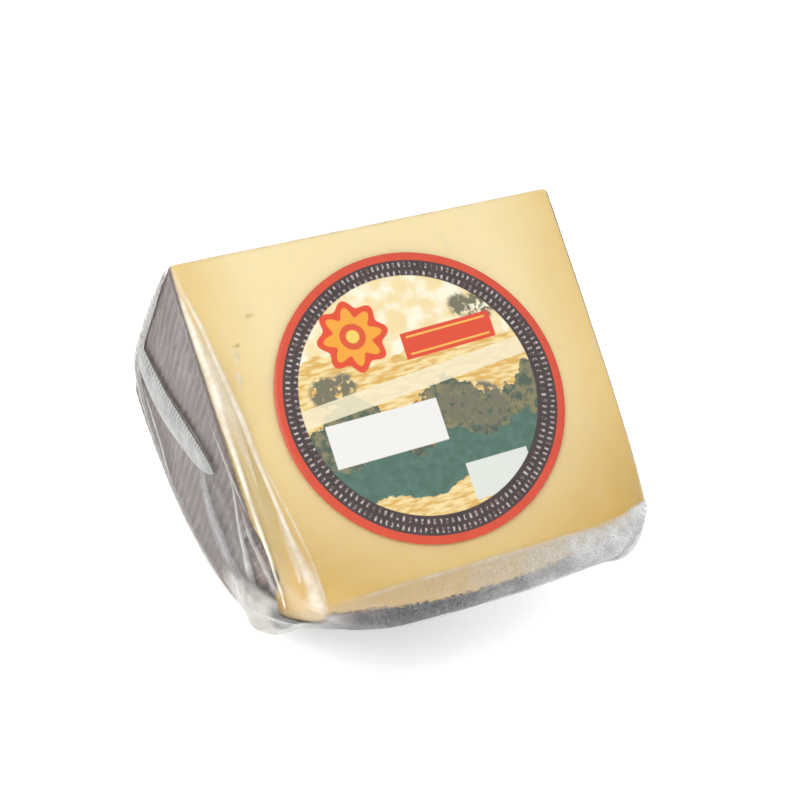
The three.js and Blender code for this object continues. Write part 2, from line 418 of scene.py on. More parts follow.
feed(tree, shader.inputs["Base Color"], over(tree, in_paste, rind, paste))
feed(tree, shader.inputs["Roughness"], rise(tree, in_paste, 0, 1, 0.62, 0.42))
shader.inputs["Coat Weight"].default_value = 0.35
shader.inputs["Coat Roughness"].default_value = 0.18
grain = reckon(tree, "ADD", reckon(tree, "MULTIPLY", mottle(tree, place, 1.4, 4, 0.6), 0.5),
               reckon(tree, "MULTIPLY", streaks, 0.5))
feed(tree, shader.inputs["Normal"], relief(tree, reckon(
    tree, "MULTIPLY", grain, rise(tree, in_paste, 0, 1, 1.0, 0.12)), 0.5))
cheese.data.materials.append(cheese_look)
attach(cheese, "root")
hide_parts("vacuum_pack")


# The film: a clear vacuum bag drawn tight over the whole quarter. Its front is smooth; its back,
# which covers the curved rind and wraps onto the foot of the cut faces, is embossed with a fine
# net that lets the air out, and looks milky where it stands off the rind.

FILM_BELOW = 0.06  # how deep the film lies below the pack's outside
NET_STARTS = 90.6  # from the axis
NET_PITCH = 0.62

film_mesh, film_skin = wrapped_block("film", (84, 130, 110), FILM_BELOW)
x, y, z = film_skin.T
from_axis = np.hypot(y, z)
over_rind = np.clip((from_axis - 91) / 5, 0, 1)
over_flats = np.clip((np.abs(x) - 48) / 3, 0, 1)
film_relief = (0.14 * over_rind * unevenness(film_skin, 9, 12)
               + 0.08 * unevenness(film_skin, 6, 13) * over_flats - 0.02)
film = shown("film", film_mesh, film_skin + way_out(film_skin) * film_relief[:, None])


def net(tree, first, second, pitch):
    """The embossed net: two crossing sets of ribs, from 0 between them to 1 where they cross."""
    sets = []
    for way in ("ADD", "SUBTRACT"):
        turn = reckon(tree, "MULTIPLY", reckon(tree, way, first, second), 2 * math.pi / pitch)
        sets.append(reckon(tree, "MULTIPLY_ADD", reckon(tree, "SINE", turn), 0.5, 0.5))
    return reckon(tree, "MULTIPLY", *sets)


film_look, tree, shader = finish("clear film")
px, py, pz, radius, deep = wheel_depths(tree)
place = wheel_place(tree)
round_the_side = reckon(tree, "MULTIPLY", reckon(tree, "ARCTAN2", pz, py), WHEEL_RADIUS)
shaken = reckon(tree, "MULTIPLY_ADD", mottle(tree, place, 4, 2), 1.6, px)
net_rib = net(tree, shaken, round_the_side, NET_PITCH)

# Where the net is: its border wanders, and climbs towards the right corner
wander = reckon(tree, "MULTIPLY_ADD", mottle(tree, place, 7, 2), 2.0, -1.0)
inner = reckon(tree, "ADD", wander, rise(tree, px, 34, 53, 0, 3.4))
netted = rise(tree, reckon(tree, "ADD", radius, inner), NET_STARTS - 0.5, NET_STARTS + 1.2)
netted = reckon(tree, "MULTIPLY", netted, reckon(
    tree, "MAXIMUM", rise(tree, px, -42, -35), rise(tree, pz, 36, 46)))

# How milky it is: more and more to the right
cloudy = mottle(tree, place, 6, 3)
grit = rise(tree, mottle(tree, place, 0.5, 2, 0.7), 0.35, 0.7)
milky = reckon(tree, "MULTIPLY_ADD", net_rib, 0.16, rise(tree, px, -16, 50, 0, 0.68))
milky = reckon(tree, "MULTIPLY_ADD", grit, 0.22, milky)
milky = reckon(tree, "MULTIPLY", milky, rise(tree, cloudy, 0.3, 0.7, 0.75, 1.2))
milky = reckon(tree, "MAXIMUM", milky, rise(tree, px, 36, 48, 0, 0.93))

# Elsewhere the film is clear, with faint painted shine on it and streaks of painted highlight over
# the flats
over_flat = rise(tree, deep, 1.2, 0.2)
shine_streak = mottle(tree, wheel_place(tree, (1, 0.5, 0.08)), 2.2, 3, 0.6)
shine_streak = reckon(tree, "MULTIPLY", over_flat, rise(tree, shine_streak, 0.5, 0.8, 0.01, 0.14))
faint = mottle(tree, wheel_place(tree, (1, 0.35, 1)), 3.5, 3)
clear = reckon(tree, "ADD", rise(tree, faint, 0.55, 0.85, 0.02, 0.13), shine_streak)
alpha = reckon(tree, "MAXIMUM", clear, reckon(tree, "MULTIPLY", netted, milky))

# Over the worn lower corner it stands off the rind, and looks milky there too
paste_ends = reckon(tree, "MULTIPLY_ADD", reckon(tree, "MULTIPLY", px, px), -WEST_CURL, PASTE_ENDS)
paste_ends = reckon(tree, "MULTIPLY_ADD", worn_back(tree, px), -WORN_BITE, paste_ends)
paste_ends = reckon(tree, "ADD", paste_ends, reach_beside_corner(tree, px, pz))
off_rind = rise(tree, reckon(tree, "SUBTRACT", radius, paste_ends), -0.3, 1)
off_rind = reckon(tree, "MULTIPLY", off_rind, reckon(
    tree, "MULTIPLY", rise(tree, px, -29, -42), rise(tree, py, 75, 80)))
off_rind = reckon(tree, "MULTIPLY", off_rind, reckon(
    tree, "MAXIMUM", rise(tree, px, -45, -41), rise(tree, reckon(tree, "ADD", py, pz), 104, 110)))
off_rind = reckon(tree, "MULTIPLY", off_rind, rise(tree, cloudy, 0.3, 0.7, 0.72, 0.95))
alpha = reckon(tree, "MAXIMUM", alpha, off_rind)
feed(tree, shader.inputs["Alpha"], alpha)
feed(tree, shader.inputs["Base Color"], over(tree, mottle(tree, place, 8, 2),
                                             paint(226, 228, 230), paint(244, 243, 238)))
feed(tree, shader.inputs["Roughness"], rise(tree, netted, 0, 1, 0.12, 0.3))
feed(tree, shader.inputs["Normal"], relief(tree, reckon(tree, "MULTIPLY", netted, net_rib), 0.25))
film.data.materials.append(film_look)
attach(film, "root")
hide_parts("vacuum_pack")


# The sealed rim: where the two sheets of the bag are welded together, a band with fine ribs
# pressed across it. It stands up along the back edge of the left flat, then lies across the flat.

STRIP_LOWEST = 0.0002  # how high above the floor a strip of film stays, in metres
AHEAD = 0.004  # how far along a strip its direction is read to either side, as a share
RIB_PITCH = 1.7
RIB_HEIGHT = 0.2
RIM_LENGTH = 74.0

# Where strips of film run, in stops of x, y, z, half the width and the height
RIM_ON_FLAT = [(-53, 2.6, 62.4, 2.4, 0.4), (-53, 6, 59, 5.6, 1.1), (-53, 15, 53.5, 6.3, 1.3),
               (-53, 23, 47.5, 6.1, 1.3), (-53, 30, 40.5, 5.4, 1.3), (-53, 36.5, 34, 4.9, 1.2),
               (-53, 42.8, 27, 3.9, 1.1), (-53, 47.3, 21.4, 2.2, 0.8), (-53, 50, 18.4, 0.4, 0.2)]
RIM_ON_EDGE = [(-52.5, 0.8, 1, 0.9, 0.3), (-52.4, 1.2, 16, 1.5, 0.7), (-52, 1.4, 32, 1.9, 1.2),
               (-51.6, 1.6, 48, 2.3, 1.5), (-51.2, 2.6, 61, 2.6, 1.6), (-50.6, 7, 70.5, 2.2, 1.1),
               (-50.6, 15, 75.5, 1.4, 0.7), (-50.6, 26, 76, 0.8, 0.5), (-50.4, 38, 73, 0.3, 0.2)]
# The stops of a thin dark strip beside the rim, a painted shadow
RIM_SHADOW_STOPS = [(-53, 3, 53, 0.6, 0.15), (-53, 10.5, 48.5, 0.9, 0.15), (-53, 18, 43.5, 1.1, 0.15),
            (-53, 26, 36.5, 1.2, 0.15), (-53, 33, 29.8, 1.2, 0.15), (-53, 40, 23.3, 1.0, 0.15),
            (-53, 46, 18.6, 0.7, 0.15), (-53, 50, 16, 0.4, 0.15)]


def through(stops, share):
    """The stops' numbers along a smooth line through them, at shares of the way from 0 to 1."""
    stops = np.array(stops, float)
    padded = np.vstack([2 * stops[0] - stops[1], stops, 2 * stops[-1] - stops[-2]])
    where = np.clip(share, 0, 1) * (len(stops) - 1)
    i = np.minimum(where.astype(int), len(stops) - 2)
    t = (where - i)[:, None]
    a, b, c, d = (padded[i + k] for k in range(4))
    return 0.5 * (2 * b + (c - a) * t + (2 * a - 5 * b + 4 * c - d) * t ** 2
                  + (3 * b - 3 * c + d - a) * t ** 3)


def laid_strip(name, stops, cells, height, cloud):
    """A strip of film laid on the pack through stops of x, y, z, half its width and its height.

    height and cloud say which share of that height it has and how milky it is, the milkiness
    standing for a painted highlight on the creases and on the bright slack fold, from how far
    along it, how far across it from -1 to 1, and the point of the pack under it.
    """
    bm = bmesh.new()
    bm.loops.layers.uv.new("film")
    bmesh.ops.create_grid(bm, x_segments=cells[0], y_segments=cells[1], size=1, calc_uvs=True)
    mesh, grid = mesh_of(bm, name)
    along, across = (grid[:, 0] + 1) / 2, grid[:, 1]
    line = through(stops, along)
    ahead = through(stops, along + AHEAD)[:, :3] - through(stops, along - AHEAD)[:, :3]
    middle = on_skin(line[:, :3])
    sideways = np.cross(ahead, way_out(middle))
    sideways /= np.linalg.norm(sideways, axis=1)[:, None]
    foot = on_skin(middle + sideways * (across * line[:, 3])[:, None])
    lift = line[:, 4] * height(along, across, foot)
    note(mesh, "cloud", np.clip(cloud(along, across, foot), 0, 1))
    note(mesh, "along", along)
    return shown(name, mesh, foot + way_out(foot) * lift[:, None], STRIP_LOWEST)


def fading(s, quickness):
    """Grows that quickly from 0 at both ends of a strip to 1, from how far along it."""
    return np.clip(quickness * np.minimum(s, 1 - s), 0, 1)


def film_finish(name, tint, deep_tint, clouding, rib=None, roughness=0.2, shade=None):
    """Film whose milkiness follows the piece's own cloud value and a pattern."""
    look, tree, shader = finish(name)
    place = wheel_place(tree)
    thick = reckon(tree, "MULTIPLY", noted(tree, "cloud"), clouding(tree, place))
    feed(tree, shader.inputs["Alpha"], reckon(tree, "MINIMUM", thick, 1.0))
    tone = shade(tree, place) if shade else mottle(tree, place, 2.5, 3)
    feed(tree, shader.inputs["Base Color"], over(tree, tone, deep_tint, tint))
    shader.inputs["Roughness"].default_value = roughness
    shader.inputs["Coat Weight"].default_value = 0.3
    shader.inputs["Coat Roughness"].default_value = 0.08
    if rib:
        feed(tree, shader.inputs["Normal"], relief(tree, rib(tree, place), 0.2))
    return look


def welded(tree, place):
    """The even milkiness of two sheets welded together."""
    return rise(tree, mottle(tree, place, 4, 3), 0.25, 0.7, 0.72, 1.0)


def rib_shade(tree, place):
    """Lighter on the ribs pressed across the band and darker between them: painted light and shade
    on the ribs.
    """
    turn = reckon(tree, "MULTIPLY", noted(tree, "along"), 2 * math.pi * RIM_LENGTH / RIB_PITCH)
    rib = reckon(tree, "MULTIPLY_ADD", reckon(tree, "SINE", turn), 0.26, 0.42)
    return reckon(tree, "ADD", rib, reckon(tree, "MULTIPLY", mottle(tree, place, 5, 3), 0.5))


def rim_height(s, t, foot):
    ribs = RIB_HEIGHT * np.sin(2 * math.pi * s * RIM_LENGTH / RIB_PITCH)
    return 0.25 + 0.75 * (1 - np.abs(t) ** 5) + ribs * (1 - t ** 6)


def rim_cloud(s, t, foot):
    return 0.80 + 0.12 * unevenness(foot, 12, 18) + 0.1 * np.abs(t) ** 4


rim_look = film_finish("welded film", paint(212, 212, 210), paint(126, 124, 126), welded,
                       shade=rib_shade)
rim_flat = laid_strip("sealed_rim_flat", RIM_ON_FLAT, (560, 12), rim_height, rim_cloud)
rim_flat.data.materials.append(rim_look)

rim_edge = laid_strip("sealed_rim_edge", RIM_ON_EDGE, (220, 10),
                      lambda s, t, foot: (1 - t ** 4) + 0.12 * unevenness(foot, 4, 5),
                      lambda s, t, foot: (0.95 + 0.05 * unevenness(foot, 14, 6)) * fading(s, 12))
rim_edge.data.materials.append(film_finish("rim on edge", paint(182, 179, 175),
                                           paint(124, 119, 114), welded))

# Beside the rim a thin dark strip stands off the film a little: a painted shadow, the shade that
# the rim's raised edge casts on the rind
rim_shadow = laid_strip("rim_painted_shadow", RIM_SHADOW_STOPS, (160, 8), lambda s, t, foot: np.ones(len(s)),
                     lambda s, t, foot: 0.8 * (1 - t * t) * fading(s, 6))
rim_shadow.data.materials.append(film_finish("painted shadow film", paint(96, 78, 70), paint(72, 56, 50),
                                          welded))
for piece in (rim_flat, rim_edge, rim_shadow):
    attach(piece, "root")
    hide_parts("vacuum_pack")


# The slack: netted film left loose beside the rim's lower end, gathered in long soft folds that
# run to the front lower corner, with a bright fold along its right side painted white as a
# highlight.

SLACK = [(-52, 46, 23, 3.5, 0.6), (-52, 52, 25.5, 9.5, 1.4), (-51.5, 60, 26.5, 12, 1.5),
         (-51, 68, 27, 11, 1.4), (-50.5, 75, 28, 8, 1.2), (-49.5, 80, 29, 5, 1.0)]

# Each fold's stops, and how milky it is: the bright one, whose whiteness is a painted highlight,
# two that cross the slack from the front edge, a long and a short one along the back, and one
# beside the front edge
SLACK_FOLDS = (
    ([(-52, 46.5, 27, 1.6, 0.2), (-51.8, 51, 32.5, 3.6, 0.6), (-51.4, 57, 34.6, 4.7, 0.8),
      (-51, 64, 33.8, 5, 0.8), (-50.5, 71, 32.4, 4.8, 0.7), (-49.4, 77, 32, 3, 0.3)], 1.0),
    ([(-52, 49, 4.6, 0.3, 0.05), (-51.6, 57, 5.8, 0.7, 0.2), (-51.4, 64.1, 10.8, 1.3, 0.4),
      (-50.7, 71, 15.7, 2.2, 0.6), (-49.5, 75.4, 22.3, 2.8, 0.6), (-47.9, 79.5, 30, 2.2, 0.2)],
     0.6),
    ([(-51.9, 60, 4.2, 0.3, 0.05), (-51, 69.4, 6.1, 1.5, 0.2), (-49.7, 75.4, 7.6, 2.2, 0.25),
      (-47, 81.4, 14.5, 1.9, 0.2), (-45.5, 83.6, 21, 0.8, 0.05)], 0.42),
    ([(-50.8, 10, 78, 0.5, 0.3), (-50.6, 20, 77.5, 0.8, 0.5), (-50.4, 34, 74, 0.8, 0.5),
      (-50, 50, 67, 0.6, 0.4), (-49.6, 64, 56, 0.5, 0.4), (-49, 74, 44, 0.4, 0.3)], 0.45),
    ([(-51, 8, 69, 0.3, 0.1), (-51, 18, 69.8, 0.5, 0.4), (-51, 28.8, 69.7, 0.5, 0.45),
      (-50.9, 34, 71.2, 0.4, 0.4), (-50.7, 40, 73, 0.3, 0.1)], 0.95),
    ([(-52, 38, 7.4, 0.3, 0.1), (-52, 46.3, 5.4, 0.6, 0.2), (-51.7, 52.5, 4.6, 0.7, 0.25),
      (-51.2, 59.5, 3.8, 0.5, 0.2), (-50.6, 66, 3.6, 0.3, 0.1)], 0.5))


def loose_net(tree, place):
    """The net on slack film, its ribs shaken out of line and full of specks."""
    _, py, pz = parts_of(tree, place)
    shaken = reckon(tree, "MULTIPLY_ADD", mottle(tree, place, 3, 2), 1.8, py)
    ribs = reckon(tree, "MULTIPLY_ADD", net(tree, shaken, pz, NET_PITCH), 0.3, 0.12)
    grit = rise(tree, mottle(tree, place, 0.5, 2, 0.75), 0.4, 0.62)
    return reckon(tree, "ADD", ribs, reckon(tree, "MULTIPLY", grit, 0.7))


def speckle(tree, place):
    """White specks close together on a milky ground."""
    return rise(tree, mottle(tree, place, 0.6, 2, 0.75), 0.4, 0.62, 0.42, 1.0)


def plain_cloud(tree, place):
    """Soft milky clouds."""
    return rise(tree, mottle(tree, place, 3, 3), 0.2, 0.75, 0.75, 1.15)


def slack_height(s, t, foot):
    return (1 - np.abs(t) ** 5) * (0.75 + 0.35 * np.cos(7 * t + 3 * s))


def slack_cloud(s, t, foot):
    milk_and_shine = 0.28 + 0.25 * s + 0.7 * np.clip(t, 0, 1) ** 3 + 0.12 * unevenness(foot, 9, 14)
    return milk_and_shine * (1 - t ** 12) * np.clip(s * 12, 0, 1)


def thin_ridge(s, t, foot):
    """A narrow fold's height: a rounded ridge whose two sides end just under the skin."""
    return (1 - t * t) ** 1.5 - 0.15 * t * t


def fold_cloud(milk_and_shine):
    """How milky a soft fold is all over, from how milky it is along its middle; on the bright fold
    this is the strength of its painted highlight.
    """
    return lambda s, t, foot: (milk_and_shine * (1 + 0.2 * unevenness(foot, 7, 17)) * (1 - t * t) ** 1.3
                               * fading(s, 4))


slack_look = film_finish("slack netted film", paint(212, 209, 210), paint(164, 160, 162),
                         loose_net, rib=loose_net, roughness=0.25)
# The bright fold's speckled white film is a painted highlight
speckled_highlight_look = film_finish("speckled fold highlight", paint(230, 229, 229), paint(184, 181, 182),
                            speckle, rib=loose_net, roughness=0.25)
slack = laid_strip("film_slack", SLACK, (150, 70), slack_height, slack_cloud)
slack.data.materials.append(slack_look)

fold_look = film_finish("folded film", paint(240, 238, 232), paint(204, 203, 198), plain_cloud)
slack_folds = []
for number, (stops, milk_and_shine) in enumerate(SLACK_FOLDS):
    fold = laid_strip("slack_fold_%d" % number, stops, (120, 10), thin_ridge, fold_cloud(milk_and_shine))
    fold.data.materials.append(speckled_highlight_look if number == 0 else fold_look)
    slack_folds.append(fold)
for piece in [slack] + slack_folds:
    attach(piece, "root")
    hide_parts("vacuum_pack")


# The corner flap: the bag's spare film drawn together over the worn lower corner, a milky tent
# with a wavy lower edge and small gathers running into it.

FLAP = [(-52.5, 70, 44, 4, 0.1), (-51.5, 77, 42, 8, 0.8), (-50, 83, 38, 12, 3.4),
        (-47.5, 87, 34, 15, 5.8), (-43.5, 89.5, 31, 14, 3.2), (-39.5, 91.5, 29, 12, 0.5),
        (-32, 94, 26, 8, 0.1)]


def drawn_off(foot):
    """1 where the film stands off the rind of the worn corner, 0 where it lies on the paste."""
    x, y, z = foot.T
    paste_ends = PASTE_ENDS - WEST_CURL * x ** 2 - WORN_BITE * np.maximum(0, WORN_FROM - x) ** 2
    paste_ends += (CORNER_DROP * np.interp(x, (-46, -41, -40, -26), (0, 1, 1, 0))
                   * np.interp(z, (4, 24, 45, 60), (0, 1, 1, 0)))
    off_paste = (np.hypot(y, z) - paste_ends) / np.interp(x, (-46, -43), (2.2, 0.6))
    lowered = np.maximum(np.clip((y + z - 98) / 8, 0.1, 1), np.clip((x + 46) / 3, 0, 1))
    return np.clip(off_paste, 0, 1) * lowered


def flap_height(s, t, foot):
    gathers = 1 + 0.04 * np.cos(26 * s + 4 * t)
    return (1 - np.abs(t) ** 1.7) * gathers + 0.03 * unevenness(foot, 7, 9) * (1 - t * t)


def flap_cloud(s, t, foot):
    return ((0.84 + 0.12 * unevenness(foot, 10, 10)) * drawn_off(foot) * (1 - t ** 10)
            * np.clip(np.minimum(6 * s, 5 * (1 - s)), 0, 1))


flap_look = film_finish("milky film", paint(212, 209, 202), paint(184, 181, 172), plain_cloud,
                        roughness=0.28)
flap = laid_strip("corner_flap", FLAP, (150, 60), flap_height, flap_cloud)
flap.data.materials.append(flap_look)
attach(flap, "root")
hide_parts("vacuum_pack")


# The ear: at the other lower corner the film keeps a small square corner of its own, where it
# folds over from the curved rind to the smooth flat.

EAR = [(48, 90, 1, 2, 0.05), (46.4, 94.8, 3, 4, 0.3), (45, 97.8, 6, 5.5, 0.9),
       (44.2, 98.4, 11, 5.5, 1.4), (44, 97.6, 17, 5, 0.9), (44, 95.8, 26, 4, 0.3),
       (44, 92.5, 34, 3, 0.05)]

ear = laid_strip("corner_ear", EAR, (120, 24),
                 lambda s, t, foot: (1 - t * t) ** 1.4 + 0.04 * unevenness(foot, 4, 27),
                 lambda s, t, foot: 0.95 * (1 - t * t) ** 0.8 * fading(s, 5))
ear.data.materials.append(film_finish("corner film", paint(226, 226, 228), paint(206, 206, 208),
                                      plain_cloud, rib=loose_net, roughness=0.25))
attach(ear, "root")
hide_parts("vacuum_pack")


# The long creases: spare film pulled down the rolled left edge of the labelled face, fanning out
# from the top corner to the foot, each a thin ridge painted cream white along it as a highlight.

# Each crease's stops, and how strong its painted highlight is: the outer and the inner long one,
# a broad soft one between them, and a fainter one on either side of the inner one's lower half
CREASES = (
    ([(-52, 2, 0.4, 0.4, 0.1), (-51.9, 8, 0.3, 0.7, 0.2), (-51.5, 15.4, 0.3, 1.1, 0.35),
      (-50.9, 23, 0.3, 1.6, 0.4), (-50.5, 32, 0.3, 1.9, 0.45), (-50.4, 41, 0.7, 1.5, 0.45),
      (-50.1, 50, 0.9, 1.0, 0.45), (-49.8, 58, 1.3, 0.85, 0.45), (-49.4, 65, 1.7, 0.8, 0.45),
      (-48.8, 72.5, 2.6, 0.75, 0.4), (-48.1, 78, 4.6, 0.75, 0.4), (-46.5, 82.5, 10.4, 0.7, 0.35),
      (-44.5, 85.2, 18, 0.6, 0.3), (-42.4, 87.3, 28, 0.5, 0.1)], 0.92),
    ([(-51.6, 4, 0.1, 0.4, 0.1), (-50.9, 8.4, 0, 0.6, 0.2), (-50, 13.1, 0, 0.7, 0.25),
      (-49, 18.5, 0, 0.8, 0.25), (-48.1, 26.3, 0, 0.9, 0.3), (-46.9, 35.9, 0, 1.0, 0.3),
      (-46, 44, 0, 1.0, 0.3), (-45.5, 51.5, 0, 0.9, 0.3), (-44.8, 58.1, 0, 0.8, 0.3),
      (-44.1, 65, 0, 0.8, 0.3), (-43.3, 72, 0.1, 0.9, 0.35), (-42.5, 77.5, 0.2, 1.3, 0.45),
      (-41.5, 82.5, 0.9, 1.9, 0.35), (-40.9, 86.3, 2.3, 2.4, 0.28), (-40.5, 89.5, 5.6, 3.4, 0.2),
      (-40.4, 90.6, 10.5, 3.8, 0.05)], 0.82),
    ([(-49.8, 19, 0, 0.4, 0.05), (-49, 28, 0, 1.2, 0.1), (-48.5, 37, 0, 1.9, 0.12),
      (-48.1, 45, 0, 1.6, 0.12), (-47.6, 53, 0, 0.7, 0.1), (-47.4, 60, 0, 0.3, 0.05)], 0.5),
    ([(-44.6, 66, 0, 0.4, 0.05), (-44.1, 72, 0, 1.1, 0.12), (-43.9, 77, 0.3, 1.3, 0.15),
      (-43.5, 81, 1.2, 1.0, 0.1), (-43.4, 84, 3, 0.4, 0.05)], 0.5),
    ([(-45, 50, 0, 0.3, 0.05), (-43.5, 58.9, 0, 0.5, 0.15), (-42.2, 65.5, 0, 0.5, 0.15),
      (-41, 72.5, 0, 0.55, 0.2), (-39.9, 80, 0.1, 0.55, 0.2), (-39.3, 85.5, 1.1, 0.6, 0.2),
      (-38.3, 90, 3.5, 0.5, 0.1)], 0.42))

# Four short marks where the film touches the labelled face, and the thin welts of film that stand
# on its top edge, where the net starts at its foot and beside its upper right corner
MARKS = (
    ([(-43, 25, 0, 0.5, 0.2), (-42.8, 27, 0, 0.9, 0.3), (-43.2, 30, 0, 0.4, 0.2)], 0.3),
    ([(-43.6, 30.5, 0, 0.4, 0.2), (-43.8, 33, 0, 0.9, 0.3), (-44.6, 36, 0, 0.3, 0.2)], 0.28),
    ([(-10.6, 8, 0, 0.3, 0.1), (-10, 10, 0, 0.5, 0.2), (-9.6, 13, 0, 0.3, 0.1)], 0.2),
    ([(19, 7, 0, 0.3, 0.1), (19.3, 9.5, 0, 0.5, 0.2), (19.6, 12, 0, 0.3, 0.1)], 0.2),
    ([(-52, 0.6, 0.6, 0.9, 0.3), (-20, 0.5, 0.5, 0.9, 0.35), (20, 0.5, 0.5, 0.9, 0.35),
      (52.4, 0.6, 0.6, 0.8, 0.3)], 0.5),
    ([(-34, 90.8, 1, 0.4, 0.1), (-20, 90.6, 0.5, 0.7, 0.15), (5, 90.6, 0.5, 0.8, 0.2),
      (30, 90.3, 0.5, 0.7, 0.15), (46, 88.8, 0.5, 0.5, 0.1)], 0.24),
    ([(53, 1.5, 0.6, 0.6, 0.1), (52.8, 12, 0.6, 0.9, 0.12), (52.7, 26, 0.6, 0.7, 0.12),
      (52.5, 42, 0.6, 0.4, 0.1)], 0.45))


def crease_shine(milk_and_shine):
    """How strong a crease's painted highlight is all over: drawn-out clouds, and it ends more
    suddenly at its foot.
    """
    return lambda s, t, foot: (milk_and_shine * (0.86 + 0.2 * unevenness(foot * (1, 0.3, 1), 4, 19))
                               * (1 - t * t) ** 1.2
                               * np.clip(np.minimum(5 * s + 0.2, 14 * (1 - s)), 0, 1))


def mark_cloud(milk_and_shine):
    """How milky a mark or a welt is all over."""
    return lambda s, t, foot: (milk_and_shine * (1 + 0.5 * unevenness(foot, 5, 3)) * (1 - t * t)
                               * fading(s, 9))


# The creases' cream-white film is a painted highlight along each ridge
crease_highlight_look = film_finish("creased film highlight", paint(253, 248, 236), paint(240, 230, 204), plain_cloud,
                          roughness=0.12)
creases = []
for number, (stops, milk_and_shine) in enumerate(CREASES):
    crease = laid_strip("edge_crease_%d" % number, stops, (220, 14), thin_ridge, crease_shine(milk_and_shine))
    crease.data.materials.append(crease_highlight_look)
    creases.append(crease)
for number, (stops, milk_and_shine) in enumerate(MARKS):
    mark = laid_strip("film_mark_%d" % number, stops, (140, 8), thin_ridge, mark_cloud(milk_and_shine))
    mark.data.materials.append(fold_look)
    creases.append(mark)
for piece in creases:
    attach(piece, "root")
    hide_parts("vacuum_pack")


# The label: a round sticker of coated paper on the film over the front cut face. It is printed
# with a red rim, a dark band of pale beads, and a plain country scene with two blank panels.

LABEL_RADIUS = 37.75
LABEL_FROM_AXIS = 47.3
LABEL_THICKNESS = 0.3
LABEL_EDGE = 0.08  # how much its edge is worn round
LABEL_OFF_FILM = 0.12
LABEL_WAVES = 0.06  # how much it follows the film's unevenness
PRINT_BLUR = 0.15  # to either side of a printed border
RED_RIM = 35.5  # how far from the middle the red rim starts
DARK_BAND = 30.9  # and the dark band
BEAD_RINGS = ((34.4, 150), (32.2, 128))  # how far from the middle, and how many beads

bm = bmesh.new()
flat_part = LABEL_RADIUS - LABEL_EDGE
profile = [(r, LABEL_THICKNESS) for r in np.linspace(0, flat_part, 34)]
profile += [(LABEL_RADIUS, LABEL_THICKNESS - LABEL_EDGE), (LABEL_RADIUS, 0.05),
            (flat_part, 0), (0, 0)]
points = [bm.verts.new((r, 0, h)) for r, h in profile]
rails = [bm.edges.new(pair) for pair in zip(points, points[1:])]
bmesh.ops.spin(bm, geom=points + rails, cent=(0, 0, 0), axis=(0, 0, 1), angle=2 * math.pi,
               steps=168, use_merge=True)
bmesh.ops.remove_doubles(bm, verts=bm.verts, dist=0.002)
bmesh.ops.recalc_face_normals(bm, faces=bm.faces)
label_mesh, spots = mesh_of(bm, "label")
label_points = np.stack([spots[:, 0], LABEL_FROM_AXIS - spots[:, 1],
                         -LABEL_OFF_FILM - spots[:, 2]], axis=1)
label_points[:, 2] -= LABEL_WAVES * (1 + unevenness(label_points * (1, 1, 0), 17, 40))
label = shown("printed_label", label_mesh, label_points)

label_look, tree, shader = finish("printed label")
right, down, _ = parts_of(tree, wheel_place(tree))
up = reckon(tree, "SUBTRACT", LABEL_FROM_AXIS, down)
place = wheel_place(tree)


def spread_from(tree, centre_right, centre_up):
    """How far right of a point on the label, how far above it, and how far from it."""
    a = reckon(tree, "SUBTRACT", right, centre_right)
    b = reckon(tree, "SUBTRACT", up, centre_up)
    return a, b, length_of(tree, a, b)


def disc(tree, centre_right, centre_up, size, softness):
    """1 inside a circle on the label and 0 outside."""
    _, _, apart = spread_from(tree, centre_right, centre_up)
    return rise(tree, apart, size + softness, size - softness)


def between(tree, value, start, end):
    """1 from start to end and 0 beyond them, with a print's soft borders."""
    return reckon(tree, "MULTIPLY", rise(tree, value, start - PRINT_BLUR, start + PRINT_BLUR),
                  rise(tree, value, end + PRINT_BLUR, end - PRINT_BLUR))


def panel(tree, left, low, right_end, top, lean):
    """1 inside an upright box on the label and 0 outside, its rows leaning by that slope."""
    level = reckon(tree, "MULTIPLY_ADD", right, -lean, up)
    return reckon(tree, "MULTIPLY", between(tree, right, left, right_end),
                  between(tree, level, low, top))


def hills(tree, level, swell, pitch, rough):
    """1 below a rolling skyline on the label and 0 above."""
    roll = reckon(tree, "MULTIPLY", reckon(tree, "SINE", reckon(
        tree, "MULTIPLY", right, 2 * math.pi / pitch)), swell)
    ragged = reckon(tree, "MULTIPLY_ADD", mottle(tree, place, 3, 4, 0.6), rough, level - rough / 2)
    return rise(tree, reckon(tree, "SUBTRACT", up, reckon(tree, "ADD", roll, ragged)), 0.3, -0.3)


# The country scene: a pale sky over straw, a wood, a green slope and straw again, with bushes
straw = over(tree, rise(tree, mottle(tree, wheel_place(tree, (0.5, 2.2, 1)), 1.8, 4), 0.35, 0.65),
             paint(214, 170, 84), paint(240, 218, 160))
scene_print = over(tree, rise(tree, mottle(tree, place, 5, 3), 0.4, 0.65), paint(236, 214, 160),
                   paint(246, 238, 214))
scene_print = over(tree, hills(tree, 13, 2.5, 31, 3), scene_print, straw)
wood = over(tree, rise(tree, mottle(tree, place, 2.4, 4, 0.65), 0.42, 0.6), paint(74, 92, 78),
            paint(132, 126, 92))
scene_print = over(tree, hills(tree, 0, 3.4, 26, 9), scene_print, wood)
scene_print = over(tree, hills(tree, -12, 2.2, 19, 7), scene_print,
                   over(tree, mottle(tree, place, 2, 3), paint(92, 130, 120), paint(60, 84, 66)))
scene_print = over(tree, hills(tree, -24, 1.4, 22, 4), scene_print, straw)
for bush_right, bush_up, bush in ((-24, 6, 4.2), (-19, 7, 3.2), (22, 19, 4), (17, 20.5, 3),
                                  (8, -4, 5), (15, -6, 6)):
    leafy = reckon(tree, "MULTIPLY", disc(tree, bush_right, bush_up, bush, 0.8),
                   rise(tree, mottle(tree, place, 1.6, 3), 0.36, 0.5))
    scene_print = over(tree, leafy, scene_print, paint(116, 112, 92))

